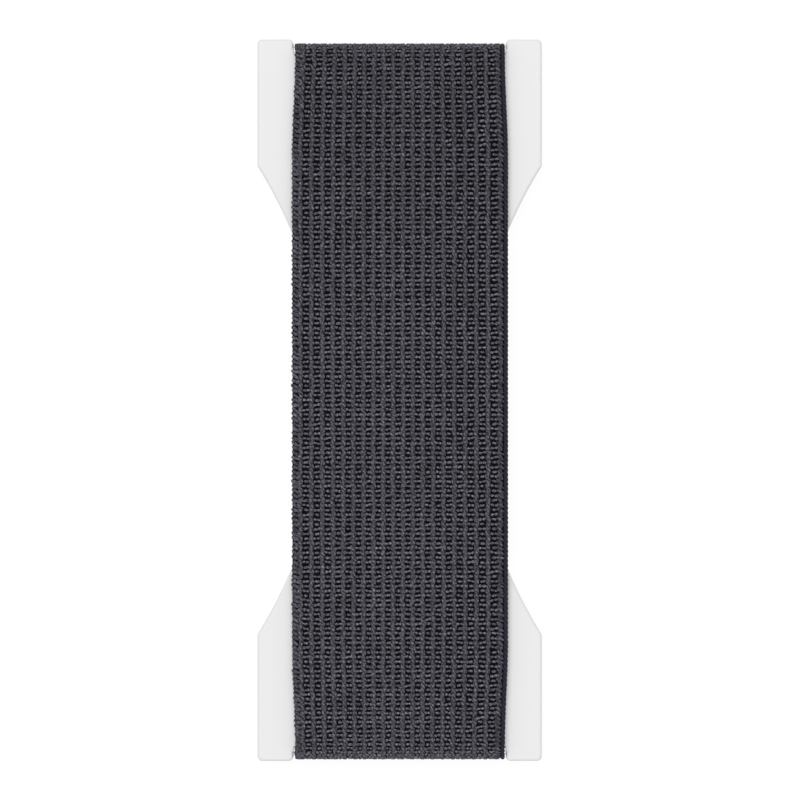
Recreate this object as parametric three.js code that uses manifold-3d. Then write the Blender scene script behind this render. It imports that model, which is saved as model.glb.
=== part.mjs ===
// A finger strap for the back of a phone, as it lies on a table before use.
//
// A white moulded plate has an ear at each of its four corners and a waist between them. A ribbed
// elastic band lies over it, rolls round the floor of a notch at each end and is bonded into a
// pocket underneath. A foam pad sticks the plate down, and a release liner still covers its glue.
// A finger goes under the band at the waist, where the band stretches away from the plate.
//
// Millimetres. X runs across the band, Y along it, and +Z is the face that shows. The origin is
// the middle of the underside.
import * as THREE from 'three';
import { mergeVertices } from 'three/addons/utils/BufferGeometryUtils.js';
import Module from 'manifold-3d';

// Base plate
const plateLength = 93.3; // over the tips of the ears
const plateWidth = 36.75; // over the outer sides of the ears
const earLength = 16.35; // straight outer side of an ear
const waistWidth = 19.3; // narrowest, at the middle
const earCornerRadius = 0.6;
const plateEdgeRadius = 0.3; // along the rims of both faces
const webThickness = 0.9; // what is left over a pocket, and the bar that the band rolls round

// Elastic band
const bandWidth = 28;
const bandEndWidth = 27.2; // squeezed between the ears
const bandEaseLength = 13.5; // over which it narrows to that
const bandThickness = 1.1; // over the cords
const bandSetBack = 0.43; // from the ears' tips to the outside of the roll
const tailLength = 14; // flat part of the band in a pocket

// Lengthwise cords of the band
const cordCount = 20;
const cordRise = 0.18; // over the weave between them
const cordWidth = 0.62;
const cordCrownWidth = 0.26; // flat top of a cord
const selvedgeWidth = 1; // from the band's edge to the outermost cord's middle
const cordSpread = 0.052; // how much the spacing opens towards the edges, as a share
const cordShift = 0.14; // of the outermost pair, to +X
const cordLean = 0.44; // of the middle cords from the outermost pair's midline, to -X
const selvedgeRound = 0.3;

// Adhesive pad and release liner
const padThickness = 0.6;
const padInset = 0.8; // behind the plate's outline
const linerThickness = 0.1;
const linerInset = 0.5;

// Clearances
const bandGap = 0.1; // between the band and the plate, and the glue line in a pocket
const bandSideGap = 0.15; // between the band's edge and an ear
const tailEndGap = 0.5; // between a tail's end and its pocket

// Fineness of the round stretches
const sideSegments = 40;
const cornerSegments = 5;
const edgeSegments = 3;
const rollSegments = 8;
const easeSegments = 4;

// Levels, from the table up
const padBottom = linerThickness;
const plateBottom = padBottom + padThickness;
const pocketDepth = bandThickness + bandGap;
const pocketTop = plateBottom + pocketDepth;
const plateTop = pocketTop + webThickness;
const plateThickness = plateTop - plateBottom;

// The roll at each end
const barRadius = webThickness / 2;
const rollHeight = pocketTop + barRadius;
const bandMidRadius = barRadius + bandGap + bandThickness / 2;
const rollLength = plateLength / 2 - bandSetBack - bandThickness / 2 - bandMidRadius; // from the middle
const notchWidth = bandEndWidth + 2 * bandSideGap;
const mouthDepth = (plateLength / 2 - rollLength - barRadius + earCornerRadius) / 2;

const quarter = Math.PI / 2;
const mergeDistance = 1e-5;

const wasm = await Module();
wasm.setup();

function arc(centreX, centreY, radius, from, to, segments) {
  return new THREE.EllipseCurve(centreX, centreY, radius, radius, from, to, to < from).getPoints(segments);
}

// Right-hand side and far notch of the plate's outline, drawn in by inset. Turned half round the
// middle, it is also the rest.
function halfOutline(inset, notchFloor) {
  const halfLength = plateLength / 2 - inset;
  const halfWidth = plateWidth / 2 - inset;
  const halfNotch = notchWidth / 2 + inset;
  const corner = Math.min(earCornerRadius, (halfWidth - halfNotch) / 3);
  const sideChord = plateLength / 2 - earLength;
  const sideDepth = (plateWidth - waistWidth) / 2;
  const sideRadius = (sideChord ** 2 + sideDepth ** 2) / (2 * sideDepth);
  const sideCentre = waistWidth / 2 + sideRadius;
  const sideAngle = Math.acos((sideCentre - halfWidth) / (sideRadius + inset));
  return [
    ...arc(halfNotch + corner, corner - halfLength, corner, 2 * quarter, 3 * quarter, cornerSegments),
    ...arc(halfWidth - corner, corner - halfLength, corner, -quarter, 0, cornerSegments),
    ...arc(sideCentre, 0, sideRadius + inset, Math.PI + sideAngle, Math.PI - sideAngle, sideSegments),
    ...arc(halfWidth - corner, halfLength - corner, corner, 0, quarter, cornerSegments),
    ...arc(halfNotch + corner, halfLength - corner, corner, quarter, 2 * quarter, cornerSegments),
    new THREE.Vector2(halfNotch, notchFloor),
    new THREE.Vector2(-halfNotch, notchFloor),
  ];
}

function plateOutline(inset, notchFloor) {
  const half = halfOutline(inset, notchFloor);
  return new THREE.Shape([...half, ...half.map((point) => point.clone().negate())]);
}

function toSolid(geometry) {
  geometry.deleteAttribute('normal');
  geometry.deleteAttribute('uv');
  const merged = mergeVertices(geometry, mergeDistance);
  const mesh = new wasm.Mesh({
    numProp: 3,
    vertProperties: merged.attributes.position.array,
    triVerts: new Uint32Array(merged.index.array),
  });
  return new wasm.Manifold(mesh);
}

function toGeometry(solid) {
  const mesh = solid.getMesh();
  const geometry = new THREE.BufferGeometry();
  geometry.setAttribute('position', new THREE.BufferAttribute(mesh.vertProperties, 3));
  geometry.setIndex(new THREE.BufferAttribute(mesh.triVerts, 1));
  return geometry.toNonIndexed();
}

// A flat sheet of the plate's outline, drawn in by inset, that ends where the roll starts.
function sheetGeometry(inset, bottom, thickness) {
  const outline = plateOutline(inset, rollLength - inset);
  return new THREE.ExtrudeGeometry(outline, { depth: thickness, bevelEnabled: false })
    .translate(0, 0, bottom);
}

// What is cut out between two ears: the notch, the pocket below the web and all round the bar.
function notchCutter() {
  const outside = plateLength / 2 + plateEdgeRadius;
  const below = plateBottom - plateEdgeRadius;
  const above = plateTop + plateEdgeRadius;
  const pocketEnd = rollLength - tailLength - tailEndGap;
  const profile = new THREE.Shape([
    new THREE.Vector2(pocketEnd, below),
    new THREE.Vector2(outside, below),
    new THREE.Vector2(outside, above),
    new THREE.Vector2(rollLength, above),
    ...arc(rollLength, rollHeight, barRadius, quarter, -quarter, 2 * rollSegments),
    new THREE.Vector2(pocketEnd, pocketTop),
  ]);
  const profileToYZ = new THREE.Matrix4().set(0, 0, 1, 0, 1, 0, 0, 0, 0, 1, 0, 0, 0, 0, 0, 1);
  return new THREE.ExtrudeGeometry(profile, { depth: notchWidth, bevelEnabled: false })
    .translate(0, 0, -notchWidth / 2)
    .applyMatrix4(profileToYZ);
}

function basePlate() {
  const outline = plateOutline(0, plateLength / 2 - mouthDepth);
  const blank = new THREE.ExtrudeGeometry(outline, {
    depth: plateThickness - 2 * plateEdgeRadius,
    bevelThickness: plateEdgeRadius,
    bevelSize: plateEdgeRadius,
    bevelOffset: -plateEdgeRadius,
    bevelSegments: edgeSegments,
  }).translate(0, 0, plateBottom + plateEdgeRadius);
  const farCutter = toSolid(notchCutter());
  const nearCutter = toSolid(notchCutter().rotateZ(Math.PI));
  return toGeometry(toSolid(blank).subtract(farCutter).subtract(nearCutter));
}

// Middle of each lengthwise cord across the band, from -X to +X.
function cordPlaces() {
  const halfSpan = bandWidth / 2 - selvedgeWidth;
  return Array.from({ length: cordCount }, (_, index) => {
    const share = (2 * index) / (cordCount - 1) - 1;
    const spread = (1 - cordSpread) * share + cordSpread * share ** 3;
    return cordShift + halfSpan * spread - cordLean * (1 - share ** 2);
  });
}

// The band's section: its first axis points out of the band's face and its second to -X.
function bandSection() {
  const inside = -bandThickness / 2;
  const crown = bandThickness / 2;
  const ground = crown - cordRise;
  const edge = bandWidth / 2;
  const cords = cordPlaces().flatMap((x) => [
    [ground, x - cordWidth / 2],
    [crown, x - cordCrownWidth / 2],
    [crown, x + cordCrownWidth / 2],
    [ground, x + cordWidth / 2],
  ]);
  const points = [
    [inside, selvedgeRound - edge],
    [inside + selvedgeRound, -edge],
    [ground - selvedgeRound, -edge],
    [ground, selvedgeRound - edge],
    ...cords,
    [ground, edge - selvedgeRound],
    [ground - selvedgeRound, edge],
    [inside + selvedgeRound, edge],
    [inside, edge - selvedgeRound],
  ];
  return new THREE.Shape(points.map(([out, x]) => new THREE.Vector2(out, -x)));
}

// The band's middle line, given only at the stations where it bends or changes width.
class BandLine extends THREE.Curve {
  constructor(stations) {
    super();
    this.stations = stations;
  }

  stationAt(share) {
    return this.stations[Math.round(share * (this.stations.length - 1))];
  }

  getPoint(share) {
    return this.stationAt(share).point.clone();
  }

  getPointAt(share) {
    return this.getPoint(share);
  }

  getTangentAt(share) {
    return this.stationAt(share).tangent.clone();
  }
}

function station(y, z, angle) {
  return {
    point: new THREE.Vector3(0, y, z),
    tangent: new THREE.Vector3(0, Math.cos(angle), Math.sin(angle)),
  };
}

function rollStations(centreY, from) {
  return Array.from({ length: rollSegments + 1 }, (_, step) => {
    const angle = from + (step * Math.PI) / rollSegments;
    const y = centreY + bandMidRadius * Math.cos(angle);
    return station(y, rollHeight + bandMidRadius * Math.sin(angle), angle + quarter);
  });
}

// From one tail's end, round its roll, over the plate, and round the other roll to the other tail.
function bandLine() {
  const tailHeight = rollHeight - bandMidRadius;
  const frontHeight = rollHeight + bandMidRadius;
  const tailEnd = rollLength - tailLength;
  const easeStep = bandEaseLength / easeSegments;
  const easing = Array.from({ length: easeSegments }, (_, step) => rollLength - (step + 1) * easeStep);
  return new BandLine([
    station(tailEnd, tailHeight, 0),
    ...rollStations(rollLength, -quarter),
    ...easing.map((y) => station(y, frontHeight, Math.PI)),
    ...easing.toReversed().map((y) => station(-y, frontHeight, Math.PI)),
    ...rollStations(-rollLength, quarter),
    station(-tailEnd, tailHeight, 0),
  ]);
}

// Share of the full width that the band has at a point: full over the plate, less between the ears.
function widthShare(y, z) {
  const endShare = bandEndWidth / bandWidth;
  if (z < rollHeight) {
    return endShare;
  }
  return endShare + (1 - endShare) * THREE.MathUtils.smoothstep(rollLength - Math.abs(y), 0, bandEaseLength);
}

function elasticBand() {
  const line = bandLine();
  const geometry = new THREE.ExtrudeGeometry(bandSection(), {
    steps: line.stations.length - 1,
    extrudePath: line,
  });
  const position = geometry.getAttribute('position');
  for (let index = 0; index < position.count; index += 1) {
    position.setX(index, position.getX(index) * widthShare(position.getY(index), position.getZ(index)));
  }
  return geometry;
}

function finish(color, roughness) {
  return new THREE.MeshStandardMaterial({ color, roughness, metalness: 0 });
}

const strap = new THREE.Group();

function addPiece(name, geometry, material) {
  geometry.computeVertexNormals();
  const piece = new THREE.Mesh(geometry, material);
  piece.name = name;
  strap.add(piece);
}

addPiece('base_plate', basePlate(), finish('#ececec', 0.4));
addPiece('elastic_band', elasticBand(), finish('#3d3c43', 0.95));
addPiece('adhesive_pad', sheetGeometry(padInset, padBottom, padThickness), finish('#4a4b4e', 0.9));
addPiece('release_liner', sheetGeometry(linerInset, 0, linerThickness), finish('#e8e2d0', 0.45));

export default strap;
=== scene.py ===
import logging
import math
from dataclasses import dataclass, field
from enum import Enum

import bmesh
import bpy
import numpy as np
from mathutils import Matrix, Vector


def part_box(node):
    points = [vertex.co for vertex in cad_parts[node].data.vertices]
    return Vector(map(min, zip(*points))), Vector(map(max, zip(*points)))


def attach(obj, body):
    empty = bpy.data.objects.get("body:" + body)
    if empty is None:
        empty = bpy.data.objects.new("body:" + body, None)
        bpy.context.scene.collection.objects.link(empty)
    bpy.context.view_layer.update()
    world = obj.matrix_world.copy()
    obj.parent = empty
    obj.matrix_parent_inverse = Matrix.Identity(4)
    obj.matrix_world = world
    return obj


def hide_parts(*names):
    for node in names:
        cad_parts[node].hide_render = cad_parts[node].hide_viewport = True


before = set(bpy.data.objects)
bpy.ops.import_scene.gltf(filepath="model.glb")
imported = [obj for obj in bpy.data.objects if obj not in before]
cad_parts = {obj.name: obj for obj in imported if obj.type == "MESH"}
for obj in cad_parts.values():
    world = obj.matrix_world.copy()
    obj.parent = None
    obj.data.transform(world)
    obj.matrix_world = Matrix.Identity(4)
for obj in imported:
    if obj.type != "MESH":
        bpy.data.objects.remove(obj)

MM = 0.001
BODY = "root"

# Blender's identifiers of the nodes that are used most
MATH = "ShaderNodeMath"
VECTOR = "ShaderNodeVectorMath"
RANGE = "ShaderNodeMapRange"
NOISE = "ShaderNodeTexNoise"
CELLS = "ShaderNodeTexVoronoi"
STORE = "GeometryNodeStoreNamedAttribute"
STORED = "GeometryNodeInputNamedAttribute"
OBJECT = "GeometryNodeObjectInfo"
RANDOM = "FunctionNodeRandomValue"

log = logging.getLogger("finger_strap")


class Slot(Enum):
    """Material slots of the record."""

    BAND = "charcoal_elastic"
    PAD = "foam_pad"


class Rung(Enum):
    """The two kinds of crosswise rung, with the row that each starts on in the first column."""

    BEAD = 0
    BAR = 1


class Edge(Enum):
    """The selvedges, with the path of a loop: across, along and up in mm, and share of its radius.

    A left loop wraps round the edge and slopes down to the first cord. A right loop runs from the
    last column over the last cord to the edge.
    """

    LEFT = (
        (0.35, 0.05, -0.28, 0.8),
        (-0.02, 0.1, -0.3, 0.95),
        (-0.24, 0.13, -0.02, 1),
        (-0.19, 0.07, 0.25, 1),
        (0.06, -0.06, 0.33, 1),
        (0.34, -0.18, 0.28, 0.9),
        (0.58, -0.28, 0.08, 0.7),
    )
    RIGHT = (
        (-0.42, 0.16, 0.15, 0.7),
        (-0.26, 0.11, 0.32, 0.95),
        (0.0, 0.02, 0.39, 1),
        (0.26, -0.14, 0.33, 1),
        (0.46, -0.3, 0.14, 0.9),
        (0.56, -0.4, -0.1, 0.7),
    )


def linear(colour: str) -> tuple[float, float, float, float]:
    """Turns an sRGB hex colour into the linear colour that a socket holds.

    Args:
        colour: six hex digits after a hash sign.

    Returns:
        Red, green, blue and an alpha of 1.
    """
    shares = [int(colour[i : i + 2], 16) / 255 for i in (1, 3, 5)]
    return (*(s / 12.92 if s <= 0.04045 else ((s + 0.055) / 1.055) ** 2.4 for s in shares), 1.0)


def feed(tree: bpy.types.NodeTree, node: bpy.types.Node, inputs: dict) -> None:
    """Gives a node's inputs their values or links.

    Args:
        tree: the tree it stands in.
        node: the node.
        inputs: for each input, by name or number, its value, the output that feeds it, or a node
            whose first output in use feeds it.
    """
    for key, value in inputs.items():
        if isinstance(value, bpy.types.Node):
            value = next(output for output in value.outputs if output.enabled)
        if isinstance(value, bpy.types.NodeSocket):
            tree.links.new(value, node.inputs[key])
        else:
            node.inputs[key].default_value = value


def add(
    tree: bpy.types.NodeTree, kind: str, inputs: dict | None = None, **settings: object
) -> bpy.types.Node:
    """Adds one node to a shader or geometry tree.

    Args:
        tree: the tree it goes in.
        kind: Blender's identifier of the node.
        inputs: its inputs, as in feed().
        settings: the node's own properties.

    Returns:
        The node.
    """
    node = tree.nodes.new(kind)
    for name, value in settings.items():
        setattr(node, name, value)
    feed(tree, node, inputs or {})
    return node


def new_tree(name: str, **sockets: tuple[str, ...]) -> tuple[bpy.types.NodeTree, object]:
    """Starts a geometry tree that takes and gives a geometry.

    Args:
        name: the tree's name.
        sockets: the names of its further inputs, by their kind.

    Returns:
        The tree, and its inputs by name.
    """
    tree = bpy.data.node_groups.new(name, "GeometryNodeTree")
    tree.interface.new_socket("Geometry", in_out="OUTPUT", socket_type="NodeSocketGeometry")
    for kind, names in {"Geometry": ("Geometry",), **sockets}.items():
        for socket in names:
            tree.interface.new_socket(socket, in_out="INPUT", socket_type=f"NodeSocket{kind}")
    return tree, add(tree, "NodeGroupInput").outputs


def new_material(name: str) -> tuple[bpy.types.Material, bpy.types.NodeTree, bpy.types.Node]:
    """Starts a material of nodes.

    Args:
        name: the material's name.

    Returns:
        The material, its tree and its shader.
    """
    made = bpy.data.materials.new(name)
    made.use_nodes = True
    return made, made.node_tree, made.node_tree.nodes["Principled BSDF"]


def settle(piece: bpy.types.Object, *steps: tuple[bpy.types.NodeTree, dict[str, object]]) -> None:
    """Runs geometry trees on a piece, one on another, and keeps the result as its plain mesh.

    Args:
        piece: the object, whose own mesh the first tree starts from.
        steps: each tree with its inputs by name.
    """
    for tree, values in steps:
        modifier = piece.modifiers.new(tree.name, "NODES")
        modifier.node_group = tree
        for socket in tree.interface.items_tree:
            if socket.in_out == "INPUT" and socket.name in values:
                modifier[socket.identifier] = values[socket.name]
    graph = bpy.context.evaluated_depsgraph_get()
    made = bpy.data.meshes.new_from_object(
        piece.evaluated_get(graph), preserve_all_data_layers=True, depsgraph=graph
    )
    piece.modifiers.clear()
    piece.data = made


def link(name: str, data: bpy.types.ID) -> bpy.types.Object:
    """Puts an object in the scene at the origin.

    Args:
        name: the object's name.
        data: its mesh, curve, light or camera.

    Returns:
        The object.
    """
    made = bpy.data.objects.new(name, data)
    bpy.context.scene.collection.objects.link(made)
    return made


def place(name: str, points: list, faces: list, edges: tuple | list = ()) -> bpy.types.Object:
    """Puts a mesh in the scene at the origin, with its faces turned outwards.

    Args:
        name: the object's name.
        points: its points.
        faces: its faces, as rows of point numbers.
        edges: its edges, where it has no faces.

    Returns:
        The object.
    """
    mesh = bpy.data.meshes.new(name)
    mesh.from_pydata(points, edges, faces)
    shape = bmesh.new()
    shape.from_mesh(mesh)
    bmesh.ops.recalc_face_normals(shape, faces=shape.faces)
    shape.to_mesh(mesh)
    shape.free()
    return link(name, mesh)


def keep_numbers(piece: bpy.types.Object, name: str, numbers: list[float]) -> None:
    """Stores a number with each point of a piece's mesh.

    Args:
        piece: the piece.
        name: the attribute's name.
        numbers: a number for each point.
    """
    piece.data.attributes.new(name, "FLOAT", "POINT").data.foreach_set("value", numbers)


def swept(rings: list) -> tuple[list, list]:
    """Skins a row of rings into one closed tube.

    Args:
        rings: equal rings of points, from one end to the other.

    Returns:
        Points and faces, with a flat cap at each end.
    """
    sides = len(rings[0])
    points = [tuple(point) for ring in rings for point in ring]
    faces = []
    for first in range(0, (len(rings) - 1) * sides, sides):
        for i in range(sides):
            j = (i + 1) % sides
            faces.append((first + i, first + j, first + sides + j, first + sides + i))
    last = (len(rings) - 1) * sides
    return points, [*faces, tuple(range(sides)), tuple(last + i for i in range(sides))]


def short_yarn(name: str, stations: list, sides: int) -> bpy.types.Object:
    """Makes one short yarn that lies across the band, for a tree to repeat.

    Args:
        name: the object's name.
        stations: place across, along and up, and radius, from one end to the other.
        sides: faces around the yarn.

    Returns:
        The object.
    """
    middles = np.array([station[:3] for station in stations])
    ways = np.gradient(middles, axis=0)
    turns = 2 * math.pi * np.arange(sides) / sides
    rings = []
    for middle, way, (*_, radius) in zip(middles, ways, stations):
        tangent = way / np.linalg.norm(way)
        aside = np.array((0, 1, 0)) - tangent[1] * tangent
        aside /= np.linalg.norm(aside)
        up = np.cross(tangent, aside)
        rings.append([middle + radius * (math.cos(a) * up + math.sin(a) * aside) for a in turns])
    return place(name, *swept(rings))


def ride(piece: bpy.types.Object) -> None:
    """Fastens a piece to the part's one body.

    Args:
        piece: the finished piece.
    """
    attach(piece, BODY)
    log.info("%s: %d faces", piece.name, len(piece.data.polygons))


@dataclass(frozen=True)
class BandSizes:
    """Sizes of the woven elastic band, in metres, mostly read from its solid."""

    half_width: float
    roll_centre: float
    roll_height: float
    roll_radius: float
    thickness: float = 1.1 * MM
    end_width: float = 27.2 * MM
    ease_length: float = 13.5 * MM
    tail_length: float = 14 * MM
    cord_count: int = 20
    selvedge_width: float = 1.11 * MM
    cord_spread: float = 0.063
    cord_shift: float = 0.07 * MM
    cord_lean: float = 0.28 * MM
    row_pitch: float = 0.617 * MM
    row_opening: float = 0.39
    tight_from: float = 37 * MM
    tight_at_end: float = 0.95
    tight_on_roll: float = 0.75
    woven_tail: float = 3 * MM

    @classmethod
    def of_solid(cls, node: str) -> "BandSizes":
        """Reads the band's reach from its solid.

        Args:
            node: the solid's name in the frame.

        Returns:
            The band's sizes.
        """
        low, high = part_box(node)
        radius = (high.z - low.z) / 2
        return cls(high.x, high.y - radius, (high.z + low.z) / 2, radius)

    def width_share(self, y: float) -> float:
        """How much of the full width the band has on its front, which is less between the ears.

        Args:
            y: place along the band.

        Returns:
            A share up to 1.
        """
        end = self.end_width / (2 * self.half_width)
        way = min(1.0, max(0.0, (self.roll_centre - abs(y)) / self.ease_length))
        return end + (1 - end) * way * way * (3 - 2 * way)

    def cord_places(self) -> list[float]:
        """Middle of each lengthwise cord across the band, set a little wider apart at the edges.

        Returns:
            Places across, from left to right.
        """
        half_span = self.half_width - self.selvedge_width
        places = []
        for number in range(self.cord_count):
            share = 2 * number / (self.cord_count - 1) - 1
            spread = (1 - self.cord_spread) * share + self.cord_spread * share**3
            places.append(self.cord_shift + half_span * spread - self.cord_lean * (1 - share**2))
        return places

    def row_places(self) -> list[float]:
        """Middle of each crosswise row along the band's outer face, closer where it rolls over.

        Returns:
            Places along, from the near end to the far end.
        """
        turns = (0, self.tight_from, self.tight_from + 3 * MM, self.roll_centre, self.roll_centre + MM)
        shares = (1, 1, self.tight_at_end, self.tight_at_end, self.tight_on_roll)
        reach = self.roll_centre + math.pi * self.roll_radius + self.woven_tail
        sides = []
        for way in (1, -1):
            side = [0.0]
            while abs(side[-1]) < reach:
                y = side[-1]
                open_share = 1 + self.row_opening * max(-self.roll_centre, min(self.roll_centre, y))
                step = self.row_pitch * open_share * float(np.interp(abs(y), turns, shares))
                side.append(y + way * step)
            sides.append(side)
        return [*reversed(sides[1][1:]), *sides[0]]


@dataclass(frozen=True)
class YarnFinish:
    """Textured polyester yarn, dyed charcoal and woven tight.

    The eye sees soft crowns of loose fibre with a faint violet cast and small glints, which are painted
    highlights, and painted shade, almost black, where the yarn dives between its neighbours. Single
    filaments are about 0.02 mm, too fine to show, so they are drawn as tufts 0.17 mm wide. Tufts are
    measured in millimetres.
    """

    name: str
    crown: str
    valley_painted_shade: str
    low: float
    high: float
    roughness: float = 0.85
    sheen: float = 0.1
    fibre_width: float = 0.17
    fibre_length: float = 0.42
    fibre_turn: float = 45.0
    mottle: float = 0.9
    painted_glint: float = 1.4
    bump: float = 0.8

    def material(self) -> bpy.types.Material:
        """Builds the material, which reads the yarn's height in the cloth, for its painted shade, and its
        own tone.

        Returns:
            The material.
        """
        made, tree, shader = new_material(self.name)
        height = add(tree, "ShaderNodeAttribute", attribute_name="height").outputs["Fac"]
        tone = add(tree, "ShaderNodeAttribute", attribute_name="tone").outputs["Fac"]
        # painted shade: the colour runs from the crown colour down to the valley colour, almost black,
        # where the yarn lies deep between its neighbours
        span = {"Value": height, "From Min": self.low, "From Max": self.high}
        depth = add(tree, RANGE, span, interpolation_type="SMOOTHSTEP")
        dye_and_shade_colours = {0: depth, 6: linear(self.valley_painted_shade), 7: linear(self.crown)}
        dye_with_painted_shade = add(tree, "ShaderNodeMix", dye_and_shade_colours, data_type="RGBA")
        tufts = {
            "Vector": add(tree, "ShaderNodeUVMap", uv_map="weave"),
            "Rotation": (0, 0, math.radians(self.fibre_turn)),
            "Scale": (self.fibre_width, self.fibre_length, 1),
        }
        along_fibres = add(tree, "ShaderNodeMapping", tufts, vector_type="TEXTURE")
        fibres = add(
            tree, NOISE, {"Vector": along_fibres, "Scale": 1.0, "Detail": 3.0, "Roughness": 0.65}
        )
        spread = {"From Min": 0.38, "From Max": 0.62, "To Min": 1 - self.mottle, "To Max": 1 + self.mottle}
        mottled = add(tree, RANGE, {"Value": fibres, **spread})
        # painted highlights: the brightest tufts are lifted in the colour as glints of the filaments
        painted_glints = add(tree, RANGE, {"Value": fibres, "From Min": 0.58, "From Max": 0.72, "To Max": self.painted_glint})
        mottle_and_glints = add(tree, MATH, {0: mottled, 1: painted_glints}, operation="ADD")
        level = add(tree, MATH, {0: tone, 1: mottle_and_glints}, operation="MULTIPLY")
        colour = add(tree, VECTOR, {0: dye_with_painted_shade, "Scale": level}, operation="SCALE")
        relief = add(
            tree, "ShaderNodeBump", {"Height": fibres, "Strength": self.bump, "Distance": 0.04 * MM}
        )
        look = {
            "Base Color": colour,
            "Normal": relief,
            "Roughness": self.roughness,
            "Sheen Weight": self.sheen,
            "Sheen Roughness": 0.5,
            "Specular IOR Level": 0.3,
        }
        feed(tree, shader, look)
        return made


@dataclass(frozen=True)
class ClothBackFinish:
    """The band's ground cloth: near black painted shade deep between the cords, charcoal stitches on its
    back.

    The eye hardly sees it from the front. From below it shows flat stitches in columns, with a dark
    seam round each. Columns, rows and seams are in millimetres.
    """

    # painted shade: the front colour stands for the shade deep between the cords
    front: str = "#121116"
    back: str = "#48464d"
    seam: str = "#1d1c21"
    column: float = 0.457
    row: float = 0.617
    gap: float = 0.06

    def material(self) -> bpy.types.Material:
        """Builds the material, which reads the cloth's height and its flat place.

        Returns:
            The material.
        """
        made, tree, shader = new_material("woven_ground_cloth")
        height = add(tree, "ShaderNodeAttribute", attribute_name="height").outputs["Fac"]
        flat = add(tree, "ShaderNodeUVMap", uv_map="weave")
        pattern = {
            "Vector": flat,
            "Color1": linear(self.back),
            "Color2": linear(self.back),
            "Mortar": linear(self.seam),
            "Scale": 1.0,
            "Mortar Size": self.gap,
            "Mortar Smooth": 1.0,
            "Brick Width": self.column,
            "Row Height": self.row,
        }
        stitches = add(tree, "ShaderNodeTexBrick", pattern, offset=0.5).outputs
        # painted shade: above this height the cloth's front takes the near black front colour
        painted_shade_share = add(tree, RANGE, {"Value": height, "From Min": 0.3 * MM, "From Max": 0.4 * MM})
        sides = {0: painted_shade_share, 6: stitches["Color"], 7: linear(self.front)}
        colour = add(tree, "ShaderNodeMix", sides, data_type="RGBA")
        fibres = add(tree, NOISE, {"Vector": flat, "Scale": 7.0, "Detail": 3.0})
        raised = add(tree, MATH, {0: fibres, 1: stitches["Fac"]}, operation="SUBTRACT")
        relief = add(tree, "ShaderNodeBump", {"Height": raised, "Strength": 0.6, "Distance": 0.08 * MM})
        look = {"Base Color": colour, "Normal": relief, "Roughness": 0.95, "Specular IOR Level": 0.05}
        feed(tree, shader, look)
        return made


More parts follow.
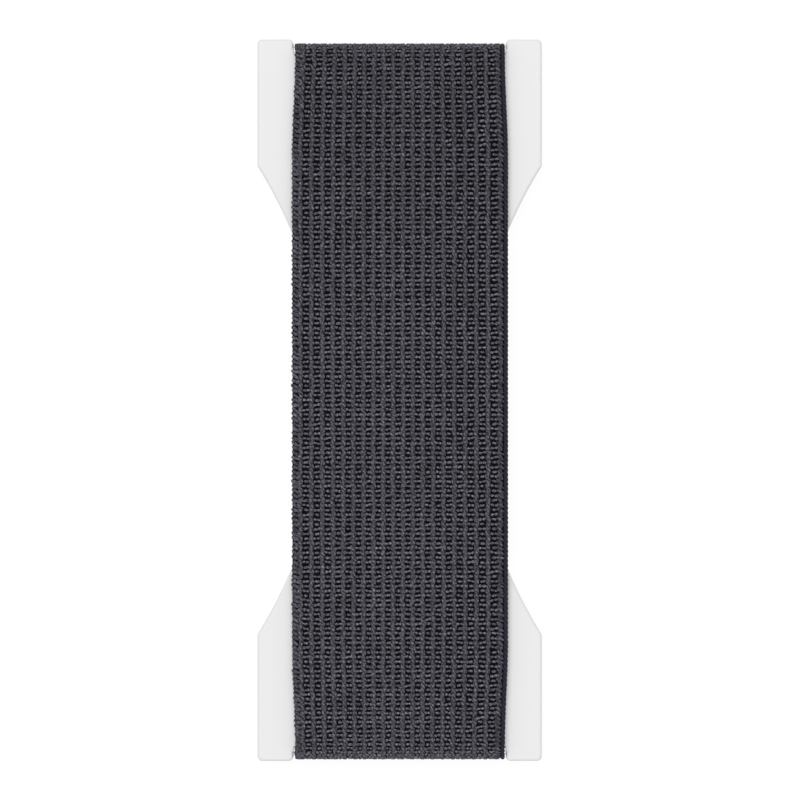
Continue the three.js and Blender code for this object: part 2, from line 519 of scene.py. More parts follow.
@dataclass
class ElasticBand:
    """The woven band: its ground cloth, lengthwise cords, crosswise rungs and selvedges."""

    sizes: BandSizes
    ground_low: float = 0.04 * MM
    ground_high: float = 0.78 * MM
    ground_setback: float = 0.16 * MM
    cord_radius: float = 0.3 * MM
    cord_drop: float = 0.02 * MM
    last_cord_drop: float = 0.1 * MM
    cord_sway: float = 0.075 * MM
    cord_waver: float = 0.38 * MM
    waver_length: float = 0.9 * MM
    cord_waist: float = 0.76
    # painted shade where the cord narrows between rungs, as a share of the tone
    waist_shade: float = 0.56
    ply_count: int = 3
    ply_points: int = 3
    ply_groove: float = 0.26
    # painted shade in the grooves between the plies, as a share of the tone
    groove_shade: float = 0.4
    shade_from: float = 5 * MM
    shade_to: float = 36 * MM
    far_shade: float = 0.85
    near_slack: float = 0.36 * MM
    far_slack: float = 0.06 * MM
    fold_press: float = 0.1 * MM
    edge_radius: float = 0.3 * MM
    edge_height: float = 0.7 * MM
    rung_radius: float = 0.17 * MM
    rung_height: float = 0.86 * MM
    rung_shift: float = 0.03 * MM
    left_loop_radius: float = 0.25 * MM
    left_loop_inset: float = 0.5 * MM
    right_loop_radius: float = 0.14 * MM
    right_loop_shift: float = 0.05 * MM
    hair_density: float = 6.0e6
    hair_length: float = 0.4 * MM
    hair_radius: float = 0.022 * MM
    hair_facing: float = 0.35
    yarn_sides: int = 6
    line: bpy.types.Object = field(init=False)
    half_length: float = field(init=False)
    run: bpy.types.Object = field(init=False)
    lay: bpy.types.NodeTree = field(init=False)
    cords: bpy.types.NodeTree = field(init=False)
    rows: bpy.types.NodeTree = field(init=False)

    def build(self) -> None:
        """Weaves the whole band and fastens it to the part."""
        self.line, self.half_length = self.band_line()
        self.run = self.cord_stations()
        self.lay = self.lay_tree()
        self.cords = self.cord_tree()
        self.rows = self.row_tree()
        low = 0.62 * MM
        cord_yarn = YarnFinish("textured_cord_yarn", "#5d5c66", "#0f0e13", low, 1.06 * MM).material()
        rung_yarn = YarnFinish(
            "filament_rung_yarn",
            "#615f69",
            "#0e0d12",
            low,
            0.98 * MM,
            roughness=0.55,
            fibre_turn=80.0,
            fibre_width=0.16,
            fibre_length=0.24,
        ).material()
        loop_yarn = YarnFinish("selvedge_loop_yarn", "#4e4d56", "#0f0e13", low, 0.95 * MM).material()
        edge_yarn = YarnFinish(
            "selvedge_edge_yarn", "#282539", "#191725", 0.3 * MM, 0.9 * MM, mottle=0.3, painted_glint=0.2
        ).material()
        hair_yarn = YarnFinish("loose_fibre", "#84828c", "#2c2a31", low, 1.04 * MM, bump=0.0).material()
        cloth = self.ground_cloth(ClothBackFinish().material())
        places = self.sizes.cord_places()
        half = self.sizes.cord_count // 2
        top = self.sizes.thickness - self.cord_radius
        raised = top - self.cord_drop
        # the right selvedge's loops cross the last cord, and a dark cord finishes the edge
        last = {"Seed": 5, "Sway": -self.cord_sway}
        edge = {"Seed": 7, "Radius": self.edge_radius, "Waver": 0.05 * MM, "Sway": 0.0, "Groove": 0.3}
        edge_place = self.sizes.half_width - self.edge_radius
        pieces = [
            self.cord_run("woven_cords_left", places[:half], raised, cord_yarn, {"Seed": 3}),
            self.cord_run("woven_cords_right", places[half:-1], raised, cord_yarn, {"Seed": 4}),
            self.cord_run("woven_cord_last", places[-1:], top - self.last_cord_drop, loop_yarn, last),
            self.cord_run("selvedge_edge", [edge_place], self.edge_height, edge_yarn, edge),
            self.rung_rows("woven_bars", Rung.BAR, rung_yarn),
            self.rung_rows("woven_beads", Rung.BEAD, rung_yarn),
            self.loops("left_selvedge", Edge.LEFT, loop_yarn),
            self.loops("right_selvedge", Edge.RIGHT, loop_yarn),
            self.hairs("cord_fibres", places[:-1], raised, hair_yarn),
        ]
        bpy.data.objects.remove(self.line)
        bpy.data.objects.remove(self.run)
        for piece in [cloth, *pieces]:
            ride(piece)
        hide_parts("elastic_band")

    def band_line(self) -> tuple[bpy.types.Object, float]:
        """Draws the line of the band's outer face, with its share of the full width as radius.

        Returns:
            The curve and half its length.
        """
        s = self.sizes
        below = s.roll_height - s.roll_radius
        above = s.roll_height + s.roll_radius
        tail_y = s.roll_centre - s.tail_length
        far_roll = [
            (s.roll_centre + s.roll_radius * math.sin(turn), s.roll_height + s.roll_radius * math.cos(turn))
            for turn in np.radians(np.arange(0, 181, 5))
        ]
        near_roll = [(-y, z) for y, z in reversed(far_roll)]
        front = [(y, above) for y in np.linspace(-s.roll_centre, s.roll_centre, 92)[1:-1]]
        places = [(-tail_y, below), *near_roll, *front, *far_roll, (tail_y, below)]
        data = bpy.data.curves.new("band_line", "CURVE")
        data.dimensions = "3D"
        spline = data.splines.new("POLY")
        spline.points.add(len(places) - 1)
        for point, (y, z) in zip(spline.points, places):
            point.co = (0, y, z, 1)
            point.radius = s.width_share(y if z > s.roll_height else s.roll_centre)
        steps = np.diff(np.array(places), axis=0)
        return link("band_line", data), float(np.linalg.norm(steps, axis=1).sum()) / 2

    def cord_stations(self) -> bpy.types.Object:
        """Draws the straight run of a flat cord, with four stations a row.

        Returns:
            A chain of points. Their "beat" is 1 beside a rung and 0 halfway to the next one, and
            their "sway" goes from 1 at one rung to -1 at the next.
        """
        rows = self.sizes.row_places()
        turns = [number + share for number in range(len(rows) - 1) for share in (0.0, 0.25, 0.5, 0.75)]
        along = [rows[int(turn)] + turn % 1 * (rows[int(turn) + 1] - rows[int(turn)]) for turn in turns]
        links = [(i, i + 1) for i in range(len(turns) - 1)]
        run = place("cord_stations", [(0, y, 0) for y in along], [], links)
        keep_numbers(run, "beat", [0.5 + 0.5 * math.cos(2 * math.pi * turn) for turn in turns])
        keep_numbers(run, "sway", [math.cos(math.pi * turn) for turn in turns])
        return run

    def lay_tree(self) -> bpy.types.NodeTree:
        """Lays flat weaving on the band's line, and keeps its flat place for the materials.

        Returns:
            The tree.
        """
        places = ("Shade from", "Shade to", "Turn middle", "Turn half")
        heights = ("Thickness", "Near slack", "Far slack", "Free height", "Pressed height")
        tree, given = new_tree(
            "lay_on_band_line",
            Object=("Line",),
            Vector=("Map scale",),
            Float=("Half length", "Far shade", *places, *heights),
            Material=("Finish",),
        )
        here = add(tree, "GeometryNodeInputPosition")
        flat = add(tree, "ShaderNodeSeparateXYZ", {0: here}).outputs
        # the tone darkens gradually along the band towards its +Y end
        darker = {"From Min": given["Shade from"], "From Max": given["Shade to"], "To Min": 1.0}
        shade = add(tree, RANGE, {"Value": flat["Y"], **darker, "To Max": given["Far shade"]})
        own_tone = add(tree, STORED, {"Name": "tone"}, data_type="FLOAT")
        tone = add(tree, MATH, {0: own_tone, 1: shade}, operation="MULTIPLY")
        in_mm = add(tree, VECTOR, {0: here, "Scale": 1 / MM}, operation="SCALE")
        facing = add(tree, "ShaderNodeSeparateXYZ", {0: add(tree, "GeometryNodeInputNormal")}).outputs
        under = add(tree, MATH, {0: facing["Z"], 1: 0.0}, operation="LESS_THAN")
        by_face = add(tree, "GeometryNodeFieldOnDomain", {0: under}, domain="FACE", data_type="FLOAT")
        halves = {0: by_face, 1: (0.5, 0, 0), 2: (0.25, 0.5, 0)}
        corner = add(tree, VECTOR, halves, operation="MULTIPLY_ADD")
        scaled = {0: here, 1: given["Map scale"], 2: corner}
        on_map = add(tree, VECTOR, scaled, operation="MULTIPLY_ADD")
        kept = add(tree, "GeometryNodeRealizeInstances", {"Geometry": given["Geometry"]})
        for name, value, kind, domain in (
            ("height", flat["Z"], "FLOAT", "POINT"),
            ("tone", tone, "FLOAT", "POINT"),
            ("weave", in_mm, "FLOAT2", "CORNER"),
            ("OFBake", on_map, "FLOAT2", "CORNER"),
        ):
            inputs = {"Geometry": kept, "Name": name, "Value": value}
            kept = add(tree, STORE, inputs, data_type=kind, domain=domain)
        line = add(tree, OBJECT, {"Object": given["Line"]}, transform_space="ORIGINAL")
        way = add(tree, MATH, {0: flat["Y"], 1: given["Half length"]}, operation="ADD")
        spot = {
            "Curves": line.outputs["Geometry"],
            "Value": add(tree, "GeometryNodeInputRadius"),
            "Length": way,
        }
        sample = add(
            tree, "GeometryNodeSampleCurve", spot, mode="LENGTH", data_type="FLOAT", use_all_curves=True
        )
        on_line = sample.outputs
        outwards = add(tree, VECTOR, {0: (1, 0, 0), 1: on_line["Tangent"]}, operation="CROSS_PRODUCT")
        reach = add(tree, MATH, {0: flat["Y"]}, operation="ABSOLUTE")
        past_turn = add(tree, MATH, {0: reach, 1: given["Turn middle"]}, operation="SUBTRACT")
        off_turn = add(tree, MATH, {0: past_turn}, operation="ABSOLUTE")
        fold = {"Value": off_turn, "From Min": given["Turn half"], "From Max": 0.0}
        turning = add(tree, RANGE, fold, interpolation_type="SMOOTHSTEP")
        ends = {"To Min": given["Near slack"], "To Max": given["Far slack"]}
        slack = add(tree, RANGE, {"Value": flat["Y"], "From Min": -MM, "From Max": MM, **ends})
        limits = {"To Min": given["Free height"], "To Max": given["Pressed height"]}
        ceiling = add(tree, RANGE, {"Value": turning, "From Max": 0.6, **limits})
        pressed = add(tree, MATH, {0: flat["Z"], 1: ceiling}, operation="MINIMUM")
        height = add(tree, MATH, {0: turning, 1: slack, 2: pressed}, operation="MULTIPLY_ADD")
        rise = add(tree, MATH, {0: height, 1: given["Thickness"]}, operation="SUBTRACT")
        off_line = {0: outwards, 1: rise, 2: on_line["Position"]}
        lifted = add(tree, VECTOR, off_line, operation="MULTIPLY_ADD")
        aside = add(tree, MATH, {0: flat["X"], 1: on_line["Value"]}, operation="MULTIPLY")
        laid = add(tree, VECTOR, {0: (1, 0, 0), 1: aside, 2: lifted}, operation="MULTIPLY_ADD")
        moved = add(tree, "GeometryNodeSetPosition", {"Geometry": kept, "Position": laid})
        smooth = add(tree, "GeometryNodeSetShadeSmooth", {"Geometry": moved})
        finish = {"Geometry": smooth, "Material": given["Finish"]}
        dressed = add(tree, "GeometryNodeSetMaterial", finish)
        add(tree, "NodeGroupOutput", {"Geometry": dressed})
        return tree

    def lay_values(self, finish: bpy.types.Material) -> dict[str, object]:
        """Inputs of the laying tree.

        Args:
            finish: the material of the piece that is laid.

        Returns:
            The inputs, by name.
        """
        quarter = 0.5 * math.pi * self.sizes.roll_radius
        return {
            "Line": self.line,
            "Half length": self.half_length,
            "Thickness": self.sizes.thickness,
            "Map scale": (0.25 / self.sizes.half_width, 0.5 / self.half_length, 0.0),
            "Shade from": self.shade_from,
            "Shade to": self.shade_to,
            "Far shade": self.far_shade,
            "Turn middle": self.sizes.roll_centre + quarter,
            "Turn half": quarter,
            "Near slack": self.near_slack,
            "Far slack": self.far_slack,
            "Free height": self.sizes.thickness + self.hair_length,
            "Pressed height": self.sizes.thickness - self.fold_press,
            "Finish": finish,
        }

    def row_tree(self) -> bpy.types.NodeTree:
        """Repeats one short yarn on the places that a mesh holds, each a little different.

        Returns:
            The tree.
        """
        changes = ("Size change", "Turn", "Shift", "Tone change")
        tree, given = new_tree("rows_of_yarn", Object=("Unit",), Float=changes, Int=("Seed",))
        unit = add(tree, OBJECT, {"Object": given["Unit"]}, transform_space="ORIGINAL")
        other_seed = add(tree, MATH, {0: given["Seed"], 1: 100.0}, operation="ADD")
        chance, other_chance = (
            add(tree, RANDOM, {0: (-1, -1, -1), 1: (1, 1, 1), "Seed": seed}, data_type="FLOAT_VECTOR")
            for seed in (given["Seed"], other_seed)
        )
        shift = add(tree, VECTOR, {0: other_chance, "Scale": given["Shift"]}, operation="SCALE")
        moved = add(tree, "GeometryNodeSetPosition", {"Geometry": given["Geometry"], "Offset": shift})
        stretch = add(tree, STORED, {"Name": "stretch"}, data_type="FLOAT")
        usual = add(tree, "ShaderNodeCombineXYZ", {0: stretch, 1: 1.0, 2: 1.0})
        sizes = {0: chance, 1: given["Size change"], 2: usual}
        scale = add(tree, VECTOR, sizes, operation="MULTIPLY_ADD")
        chances = add(tree, "ShaderNodeSeparateXYZ", {0: other_chance}).outputs
        angle = add(tree, MATH, {0: chances["Z"], 1: given["Turn"]}, operation="MULTIPLY")
        turn = add(tree, "ShaderNodeCombineXYZ", {2: angle})
        copies = {"Instance": unit.outputs["Geometry"], "Rotation": turn, "Scale": scale}
        rows = add(tree, "GeometryNodeInstanceOnPoints", {"Points": moved, **copies})
        darkest, brightest = (
            add(tree, MATH, {0: 1.0, 1: given["Tone change"]}, operation=operation)
            for operation in ("SUBTRACT", "ADD")
        )
        tones = {2: darkest, 3: brightest, "Seed": given["Seed"]}
        kept = {"Geometry": rows, "Name": "tone", "Value": add(tree, RANDOM, tones, data_type="FLOAT")}
        toned = add(tree, STORE, kept, data_type="FLOAT", domain="INSTANCE")
        add(tree, "NodeGroupOutput", {"Geometry": toned})
        return tree

    def cord_tree(self) -> bpy.types.NodeTree:
        """Runs a plied cord along the band at each place that a mesh holds.

        Returns:
            The tree.
        """
        shape = ("Radius", "Waist", "Groove", "Lead", "Waver", "Sway")
        tree, given = new_tree(
            "plied_cords",
            Object=("Run",),
            Float=(*shape, "Waist shade", "Groove shade", "Tone change"),
            Int=("Plies", "Ply points", "Seed"),
        )
        run = add(tree, OBJECT, {"Object": given["Run"]}, transform_space="ORIGINAL")
        stations = add(tree, "GeometryNodeMeshToCurve", {"Mesh": run.outputs["Geometry"]})
        copies = {"Points": given["Geometry"], "Instance": stations}
        kept = add(tree, "GeometryNodeInstanceOnPoints", copies)
        chance = add(tree, RANDOM, {2: -1.0, 3: 1.0, "Seed": given["Seed"]}, data_type="FLOAT")
        number = add(tree, "GeometryNodeInputIndex")
        odd = add(tree, MATH, {0: number, 1: 2.0}, operation="MODULO")
        side = add(tree, MATH, {0: odd, 1: -2.0, 2: 1.0}, operation="MULTIPLY_ADD")
        for name, value in (("chance", chance), ("side", side)):
            inputs = {"Geometry": kept, "Name": name, "Value": value}
            kept = add(tree, STORE, inputs, data_type="FLOAT", domain="INSTANCE")
        real = add(tree, "GeometryNodeRealizeInstances", {"Geometry": kept})
        own = {
            name: add(tree, STORED, {"Name": name}, data_type="FLOAT").outputs[0]
            for name in ("chance", "side", "sway", "beat", "groove")
        }
        drift = add(tree, NOISE, {"Scale": 1 / self.waver_length, "Detail": 1.0})
        centred = add(tree, MATH, {0: drift, 1: 0.5}, operation="SUBTRACT")
        waver = add(tree, MATH, {0: centred, 1: given["Waver"]}, operation="MULTIPLY")
        swing = add(tree, MATH, {0: own["side"], 1: own["sway"]}, operation="MULTIPLY")
        across = add(tree, MATH, {0: swing, 1: given["Sway"], 2: waver}, operation="MULTIPLY_ADD")
        aside = add(tree, "ShaderNodeCombineXYZ", {0: across})
        wavy = add(tree, "GeometryNodeSetPosition", {"Geometry": real, "Offset": aside})
        along = add(tree, "GeometryNodeSplineParameter").outputs["Length"]
        turns = add(tree, MATH, {0: along, 1: given["Lead"]}, operation="DIVIDE")
        twist = add(tree, MATH, {0: turns, 1: own["chance"]}, operation="ADD")
        angle = add(tree, MATH, {0: twist, 1: 2 * math.pi}, operation="MULTIPLY")
        twisted = add(tree, "GeometryNodeSetCurveTilt", {"Curve": wavy, "Tilt": angle})
        swell = add(tree, RANGE, {"Value": own["beat"], "To Min": given["Waist"], "To Max": 1.0})
        gripped = add(tree, "GeometryNodeSetCurveRadius", {"Curve": twisted, "Radius": swell})
        around = add(tree, MATH, {0: given["Plies"], 1: given["Ply points"]}, operation="MULTIPLY")
        circle = {"Resolution": around, "Radius": given["Radius"]}
        ring = add(tree, "GeometryNodeCurvePrimitiveCircle", circle)
        on_ply = add(tree, MATH, {0: number, 1: given["Ply points"]}, operation="MODULO")
        groove = add(tree, MATH, {0: on_ply, 1: 0.5}, operation="LESS_THAN")
        grooves = {"Geometry": ring, "Name": "groove", "Value": groove}
        marked = add(tree, STORE, grooves, data_type="FLOAT", domain="POINT")
        shrink = add(tree, MATH, {0: groove, 1: given["Groove"]}, operation="MULTIPLY")
        share = add(tree, MATH, {0: 1.0, 1: shrink}, operation="SUBTRACT")
        here = add(tree, "GeometryNodeInputPosition")
        drawn_in = add(tree, VECTOR, {0: here, "Scale": share}, operation="SCALE")
        plies = add(tree, "GeometryNodeSetPosition", {"Geometry": marked, "Position": drawn_in})
        skin = {"Curve": gripped, "Profile Curve": plies, "Fill Caps": True}
        tubes = add(tree, "GeometryNodeCurveToMesh", skin)
        # painted shade: the points in the grooves between the plies are darkened in the tone
        groove_painted_shade = add(
            tree, RANGE, {"Value": own["groove"], "To Min": 1.0, "To Max": given["Groove shade"]}
        )
        # painted shade: the cord is darker where it narrows, halfway between one rung and the next
        waist_painted_shade = add(tree, RANGE, {"Value": own["beat"], "To Min": given["Waist shade"], "To Max": 1.0})
        tones = {0: own["chance"], 1: given["Tone change"], 2: waist_painted_shade}
        own_tone = add(tree, MATH, tones, operation="MULTIPLY_ADD")
        tone = add(tree, MATH, {0: own_tone, 1: groove_painted_shade}, operation="MULTIPLY")
        inputs = {"Geometry": tubes, "Name": "tone", "Value": tone}
        toned = add(tree, STORE, inputs, data_type="FLOAT", domain="POINT")
        add(tree, "NodeGroupOutput", {"Geometry": toned})
        return tree

    def hair_tree(self) -> bpy.types.NodeTree:
        """Scatters loose fibres on the upper side of whatever mesh it is given.

        Returns:
            The tree.
        """
        tree, given = new_tree("loose_fibres", Object=("Unit",), Float=("Density", "Lean"), Int=("Seed",))
        facing = add(tree, "ShaderNodeSeparateXYZ", {0: add(tree, "GeometryNodeInputNormal")}).outputs
        steep = {0: facing["Z"], 1: self.hair_facing}
        scatter = {
            "Mesh": given["Geometry"],
            "Selection": add(tree, "FunctionNodeCompare", steep, operation="GREATER_THAN"),
            "Density": given["Density"],
            "Seed": given["Seed"],
        }
        spots = add(tree, "GeometryNodeDistributePointsOnFaces", scatter)
        unit = add(tree, OBJECT, {"Object": given["Unit"]}, transform_space="ORIGINAL")
        back = add(tree, MATH, {0: 0.0, 1: given["Lean"]}, operation="SUBTRACT")
        low = add(tree, "ShaderNodeCombineXYZ", {0: back, 1: back, 2: -math.pi})
        high = add(tree, "ShaderNodeCombineXYZ", {0: given["Lean"], 1: given["Lean"], 2: math.pi})
        turn = add(tree, RANDOM, {0: low, 1: high, "Seed": given["Seed"]}, data_type="FLOAT_VECTOR")
        size = add(tree, RANDOM, {2: 0.6, 3: 1.3, "Seed": given["Seed"]}, data_type="FLOAT")
        copies = {"Instance": unit.outputs["Geometry"], "Rotation": turn, "Scale": size}
        hairs = add(tree, "GeometryNodeInstanceOnPoints", {"Points": spots, **copies})
        kept = {"Geometry": hairs, "Name": "tone", "Value": size}
        toned = add(tree, STORE, kept, data_type="FLOAT", domain="INSTANCE")
        add(tree, "NodeGroupOutput", {"Geometry": toned})
        return tree

    def cord_values(self) -> dict[str, object]:
        """Inputs of the cord tree for the raised cords.

        Returns:
            The inputs, by name, but for the seed.
        """
        return {
            "Run": self.run,
            "Radius": self.cord_radius,
            "Waist": self.cord_waist,
            "Waist shade": self.waist_shade,
            "Plies": self.ply_count,
            "Ply points": self.ply_points,
            "Groove": self.ply_groove,
            "Groove shade": self.groove_shade,
            "Lead": -self.ply_count * self.sizes.row_pitch,
            "Waver": self.cord_waver,
            "Sway": self.cord_sway,
            "Tone change": 0.06,
        }

    def ground_cloth(self, finish: bpy.types.Material) -> bpy.types.Object:
        """Makes the dark cloth that the cords and rungs stand on, all along the band, with near black
        painted shade on its front.

        Args:
            finish: its material.

        Returns:
            The piece.
        """
        half = self.sizes.half_width - self.ground_setback
        corner = (self.ground_high - self.ground_low) / 2
        middle = (self.ground_high + self.ground_low) / 2
        section = [
            (side * (half - corner) + corner * math.cos(turn), middle + corner * math.sin(turn))
            for side, start in ((1, -90), (-1, 90))
            for turn in np.radians(np.arange(start, start + 181, 45))
        ]
        stations = np.linspace(-self.half_length, self.half_length, 300)
        piece = place("ground_cloth", *swept([[(x, y, z) for x, z in section] for y in stations]))
        settle(piece, (self.lay, self.lay_values(finish)))
        return piece

    def cord_run(
        self,
        name: str,
        across: list[float],
        height: float,
        finish: bpy.types.Material,
        changes: dict[str, object],
    ) -> bpy.types.Object:
        """Makes cords that run along the band.

        Args:
            name: the piece's name.
            across: the middle of each cord across the band.
            height: their middle above the band's inner face.
            finish: their material.
            changes: their seed, and what differs from the raised cords' inputs.

        Returns:
            The piece.
        """
        piece = place(name, [(x, 0, height) for x in across], [])
        values = {**self.cord_values(), **changes}
        settle(piece, (self.cords, values), (self.lay, self.lay_values(finish)))
        return piece

    def hairs(
        self, name: str, across: list[float], height: float, finish: bpy.types.Material
    ) -> bpy.types.Object:
        """Scatters loose fibres on the raised cords.

        Args:
            name: the piece's name.
            across: the middle of each cord across the band.
            height: their middle above the band's inner face.
            finish: the fibres' material.

        Returns:
            The piece.
        """
        half = self.hair_length / 2
        stations = [
            (x * half, 0, lift * self.hair_radius, self.hair_radius)
            for x, lift in ((-1, -0.5), (-0.4, 0.8), (0.3, 0.9), (1, -0.6))
        ]
        unit = short_yarn("loose_fibre", stations, 3)
        piece = place(name, [(x, 0, height) for x in across], [])
        settle(
            piece,
            (self.cords, {**self.cord_values(), "Seed": 3, "Ply points": 2}),
            (self.hair_tree(), {"Unit": unit, "Density": self.hair_density, "Lean": 0.25, "Seed": 21}),
            (self.lay, self.lay_values(finish)),
        )
        bpy.data.objects.remove(unit)
        return piece

    def repeat(
        self,
        name: str,
        stations: list,
        places: list,
        stretch: list[float],
        finish: bpy.types.Material,
        changes: dict[str, float],
    ) -> bpy.types.Object:
        """Repeats a short yarn on flat places and lays the result on the band.

        Args:
            name: the piece's name.
            stations: the yarn's stations, as in short_yarn().
            places: where each copy goes.
            stretch: how much wider than usual each copy is.
            finish: their material.
            changes: the row tree's seed and how much the copies differ.

        Returns:
            The piece.
        """
        unit = short_yarn("yarn_unit", stations, self.yarn_sides)
        piece = place(name, places, [])
        keep_numbers(piece, "stretch", stretch)
        settle(piece, (self.rows, {"Unit": unit, **changes}), (self.lay, self.lay_values(finish)))
        bpy.data.objects.remove(unit)
        return piece

    def rung_rows(self, name: str, kind: Rung, finish: bpy.types.Material) -> bpy.types.Object:
        """Makes every other rung of every column, each column a row behind its neighbour.

        Args:
            name: the piece's name.
            kind: wide two-lobed bars or narrow beads.
            finish: their material.

        Returns:
            The piece.
        """
        r = self.rung_radius
        if kind is Rung.BAR:
            half = 0.47 * MM
            shape = [(-1, -1.5, 0.7), (-0.72, -0.4, 1.05), (-0.42, 0.05, 1.12), (0, -0.8, 0.55)]
            shape += [(-x, z, size) for x, z, size in reversed(shape[:-1])]
        else:
            half = 0.26 * MM
            shape = [(-1, -1.9, 0.5), (-0.7, -0.6, 0.9), (-0.25, 0.0, 1.05)]
            shape += [(-x, z, size) for x, z, size in reversed(shape)]
        stations = [(x * half, 0, z * r, size * r) for x, z, size in shape]
        cords = self.sizes.cord_places()
        rows = self.sizes.row_places()
        usual = 2 * (self.sizes.half_width - self.sizes.selvedge_width) / (self.sizes.cord_count - 1)
        places = []
        stretch = []
        for column, (left, right) in enumerate(zip(cords, cords[1:])):
            for y in rows[(column + kind.value) % 2 :: 2]:
                places.append(((left + right) / 2 + self.rung_shift, y, self.rung_height))
                stretch.append((right - left) / usual)
        changes = {"Size change": 0.14, "Turn": 0.22, "Shift": 0.045 * MM, "Tone change": 0.26}
        changes["Seed"] = 11 + kind.value
        return self.repeat(name, stations, places, stretch, finish, changes)

    def loops(self, name: str, edge: Edge, finish: bpy.types.Material) -> bpy.types.Object:
        """Makes the looped yarns of one selvedge, one a row.

        Args:
            name: the piece's name.
            edge: which selvedge, with the path of its loops.
            finish: their material.

        Returns:
            The piece.
        """
        if edge is Edge.LEFT:
            radius, seed = self.left_loop_radius, 31
            across = self.left_loop_inset - self.sizes.half_width
        else:
            radius, seed = self.right_loop_radius, 32
            across = self.sizes.cord_places()[-1] - self.right_loop_shift
        stations = [(x * MM, y * MM, z * MM, size * radius) for x, y, z, size in edge.value]
        places = [(across, y, self.sizes.thickness / 2) for y in self.sizes.row_places()]
        changes = {"Size change": 0.1, "Turn": 0.25, "Shift": 0.04 * MM, "Tone change": 0.35, "Seed": seed}
        return self.repeat(name, stations, places, [1.0] * len(places), finish, changes)


@dataclass(frozen=True)
class Texture:
    """A procedural pattern: Blender's node for it, its size in metres and its further inputs."""

    kind: str
    size: float
    inputs: tuple[tuple[str, float], ...] = ()

    def node(self, tree: bpy.types.NodeTree) -> bpy.types.Node:
        """Adds the pattern on Object coordinates.

        Args:
            tree: the material's tree.

        Returns:
            Its node.
        """
        here = add(tree, "ShaderNodeTexCoord").outputs["Object"]
        return add(tree, self.kind, {"Vector": here, "Scale": 1 / self.size, **dict(self.inputs)})


@dataclass(frozen=True)
class SolidFinish:
    """A finish of one colour, with one pattern in its tint and one in its relief."""

    name: str
    colour: str
    roughness: float
    ior: float
    clouds: Texture
    cloud_range: tuple[float, float]
    tint_range: tuple[float, float]
    grain: Texture
    grain_strength: float
    grain_depth: float

    def material(self) -> bpy.types.Material:
        """Builds the material.

        Returns:
            The material.
        """
        made, tree, shader = new_material(self.name)
        spans = (*self.cloud_range, *self.tint_range)
        span = dict(zip(("From Min", "From Max", "To Min", "To Max"), spans))
        tint = add(tree, RANGE, {"Value": self.clouds.node(tree), **span})
        shades = {0: linear(self.colour)[:3], "Scale": tint}
        depth = {"Strength": self.grain_strength, "Distance": self.grain_depth}
        look = {
            "Base Color": add(tree, VECTOR, shades, operation="SCALE"),
            "Normal": add(tree, "ShaderNodeBump", {"Height": self.grain.node(tree), **depth}),
            "Roughness": self.roughness,
            "IOR": self.ior,
        }
        feed(tree, shader, look)
        return made


@dataclass(frozen=True)
class MouldedPlastic(SolidFinish):
    """White ABS, injection moulded in a finely textured tool.

    The eye sees an even satin white, with a texture too fine to make out from a step away. It is
    drawn a few times coarser than the tool's, so that it shows up close.
    """

    name: str = "moulded_white_abs"
    colour: str = "#ececec"
    roughness: float = 0.42
    ior: float = 1.54
    clouds: Texture = Texture(NOISE, 1 / 60, (("Detail", 3.0),))
    cloud_range: tuple[float, float] = (0.0, 1.0)
    tint_range: tuple[float, float] = (0.995, 1.005)
    grain: Texture = Texture(NOISE, 0.12 * MM, (("Detail", 2.0),))
    grain_strength: float = 0.08
    grain_depth: float = 0.01 * MM


@dataclass(frozen=True)
class LinerPaper(SolidFinish):
    """Glassine release paper with a silicone coat.

    The eye sees thin cream paper with a cloudy fibre pattern under a smooth satin coat.
    """

    name: str = "siliconed_glassine_paper"
    colour: str = "#e8e2d0"
    roughness: float = 0.35
    ior: float = 1.5
    clouds: Texture = Texture(NOISE, 2.5 * MM, (("Detail", 4.0),))
    cloud_range: tuple[float, float] = (0.3, 0.7)
    tint_range: tuple[float, float] = (0.98, 1.02)
    grain: Texture = Texture(NOISE, 0.25 * MM, (("Detail", 2.0), ("Distortion", 1.5)))
    grain_strength: float = 0.1
    grain_depth: float = 0.01 * MM


@dataclass(frozen=True)
class ClosedCellFoam(SolidFinish):
    """Black polyethylene foam, die cut from a sheet.

    The eye sees dull dark grey with fine cells, lighter between them.
    """

    name: str = "die_cut_foam"
    colour: str = "#4a4b4e"
    roughness: float = 0.9
    ior: float = 1.5
    clouds: Texture = Texture(CELLS, 0.22 * MM)
    cloud_range: tuple[float, float] = (0.0, 0.7)
    tint_range: tuple[float, float] = (0.8, 1.12)
    grain: Texture = Texture(CELLS, 0.22 * MM)
    grain_strength: float = 0.4
    grain_depth: float = 0.05 * MM


@dataclass
class Body:
    """The moulded plate and the release liner, which keep their solids."""

    plastic: MouldedPlastic = MouldedPlastic()
    paper: LinerPaper = LinerPaper()

    def dress(self) -> None:
        """Gives both solids their finish."""
        for node, finish in (("base_plate", self.plastic), ("release_liner", self.paper)):
            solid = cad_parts[node]
            solid.data.materials.clear()
            solid.data.materials.append(finish.material())
            log.info("%s: %s", node, finish.name)


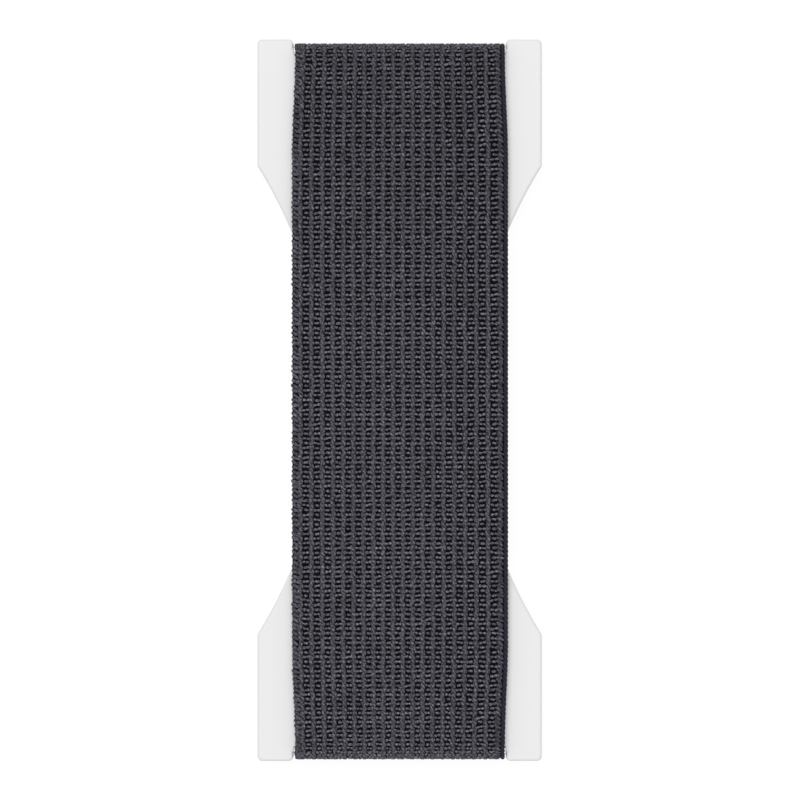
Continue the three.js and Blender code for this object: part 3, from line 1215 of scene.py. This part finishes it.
@dataclass
class FoamPad:
    """The foam pad behind the plate: the outline of its solid, with the rim pressed round."""

    rim_radius: float = 0.15 * MM
    rim_steps: int = 3
    rim_angle: float = math.radians(60)
    foam: ClosedCellFoam = ClosedCellFoam()

    def build(self) -> None:
        """Rounds the pad's rim and fastens it to the part."""
        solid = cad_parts["adhesive_pad"]
        shape = bmesh.new()
        shape.from_mesh(solid.data)
        shape.transform(solid.matrix_world)
        bmesh.ops.remove_doubles(shape, verts=shape.verts, dist=0.001 * MM)
        bmesh.ops.dissolve_limit(
            shape, angle_limit=math.radians(0.5), verts=shape.verts, edges=shape.edges
        )
        rim = [
            edge for edge in shape.edges if edge.calc_face_angle(0) > self.rim_angle and self.level(edge)
        ]
        bmesh.ops.bevel(
            shape, geom=rim, offset=self.rim_radius, segments=self.rim_steps, profile=0.5, affect="EDGES"
        )
        bmesh.ops.triangulate(shape, faces=[face for face in shape.faces if len(face.verts) > 4])
        mesh = bpy.data.meshes.new("foam_pad")
        shape.to_mesh(mesh)
        shape.free()
        mesh.materials.append(self.foam.material())
        pad = link("foam_pad", mesh)
        ride(pad)
        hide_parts("adhesive_pad")

    def level(self, edge: bmesh.types.BMEdge) -> bool:
        """Whether an edge lies level, as the upper and the lower rim do.

        Args:
            edge: the edge.

        Returns:
            True where both ends are at one height.
        """
        return abs(edge.verts[0].co.z - edge.verts[1].co.z) < 0.01 * MM


@dataclass
class Studio:
    """The pale floor, the soft light and the camera straight above."""

    frame_width: float = 103.4 * MM
    lens: float = 135.0
    sensor: float = 36.0
    floor_half: float = 3.0
    floor_white: float = 0.9
    floor_glow: float = 1.05
    floor_shadow: float = 0.14
    dome: float = 0.53
    sun: float = 0.44
    sun_angle: float = math.radians(60)
    sun_turn: tuple[float, float, float] = (math.radians(-14), math.radians(-8), 0.0)

    def build(self, focus: Vector) -> None:
        """Makes the floor, the light and the camera.

        Args:
            focus: the point that the camera looks at, in the plane whose width it frames.
        """
        self.floor()
        self.world()
        self.lamp()
        self.camera(focus)
        bpy.context.scene.view_settings.view_transform = "Standard"

    def floor(self) -> None:
        """Makes a white floor that keeps a little of the part's shadow and is clear from below."""
        h = self.floor_half
        floor = place("floor", [(-h, -h, 0), (h, -h, 0), (h, h, 0), (-h, h, 0)], [(0, 1, 2, 3)])
        made, tree, shader = new_material("floor_white")
        tree.nodes.remove(shader)
        white = (self.floor_white, self.floor_white, self.floor_white, 1)
        matt = add(tree, "ShaderNodeBsdfDiffuse", {"Color": white})
        light = add(tree, "ShaderNodeEmission", {"Strength": self.floor_glow})
        seen = add(tree, RANGE, {"Value": self.looked_at(tree), "To Max": 1 - self.floor_shadow})
        above = add(tree, "ShaderNodeMixShader", {0: seen, 1: matt, 2: light})
        side = add(tree, "ShaderNodeNewGeometry").outputs["Backfacing"]
        clear = add(tree, "ShaderNodeBsdfTransparent")
        shown = add(tree, "ShaderNodeMixShader", {0: side, 1: above, 2: clear})
        feed(tree, tree.nodes["Material Output"], {"Surface": shown})
        floor.data.materials.append(made)
        floor.visible_diffuse = False
        floor.visible_shadow = False

    def looked_at(self, tree: bpy.types.NodeTree) -> bpy.types.Node:
        """Adds nodes that tell the camera, reflections and see-through surfaces from other light.

        Args:
            tree: the shader tree.

        Returns:
            A node that gives 1 or more for them and 0 for the rest.
        """
        rays = add(tree, "ShaderNodeLightPath").outputs
        seen = add(tree, MATH, {0: rays["Is Camera Ray"], 1: rays["Is Glossy Ray"]}, operation="ADD")
        return add(tree, MATH, {0: seen, 1: rays["Is Transmission Ray"]}, operation="ADD")

    def world(self) -> None:
        """Makes an even dome of light that looks white to the camera and in reflections."""
        world = bpy.data.worlds.new("studio")
        world.use_nodes = True
        tree = world.node_tree
        level = add(tree, RANGE, {"Value": self.looked_at(tree), "To Min": self.dome, "To Max": 1.0})
        feed(tree, tree.nodes["Background"], {"Color": (1, 1, 1, 1), "Strength": level})
        bpy.context.scene.world = world

    def lamp(self) -> None:
        """Makes a wide soft key light, a little towards the far end of the strap."""
        data = bpy.data.lights.new("key", "SUN")
        data.energy = self.sun * math.pi
        data.angle = self.sun_angle
        link("key", data).rotation_euler = self.sun_turn

    def camera(self, focus: Vector) -> None:
        """Sets a long lens straight above, with the photograph's framing.

        Args:
            focus: the point that the camera looks at.
        """
        data = bpy.data.cameras.new("camera")
        data.lens = self.lens
        data.sensor_width = self.sensor
        data.clip_start = 0.01
        camera = link("camera", data)
        camera.location = focus + Vector((0, 0, self.frame_width * self.lens / self.sensor))
        bpy.context.scene.camera = camera


def main() -> None:
    """Builds the strap piece by piece, then the stage."""
    logging.basicConfig(level=logging.INFO, format="%(name)s: %(message)s")
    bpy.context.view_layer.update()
    Body().dress()
    FoamPad().build()
    ElasticBand(BandSizes.of_solid("elastic_band")).build()
    aim_across = 0.045 * MM
    aim_along = 0.032 * MM
    Studio().build(Vector((aim_across, aim_along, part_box("base_plate")[1].z)))


if __name__ == "__main__":
    main()
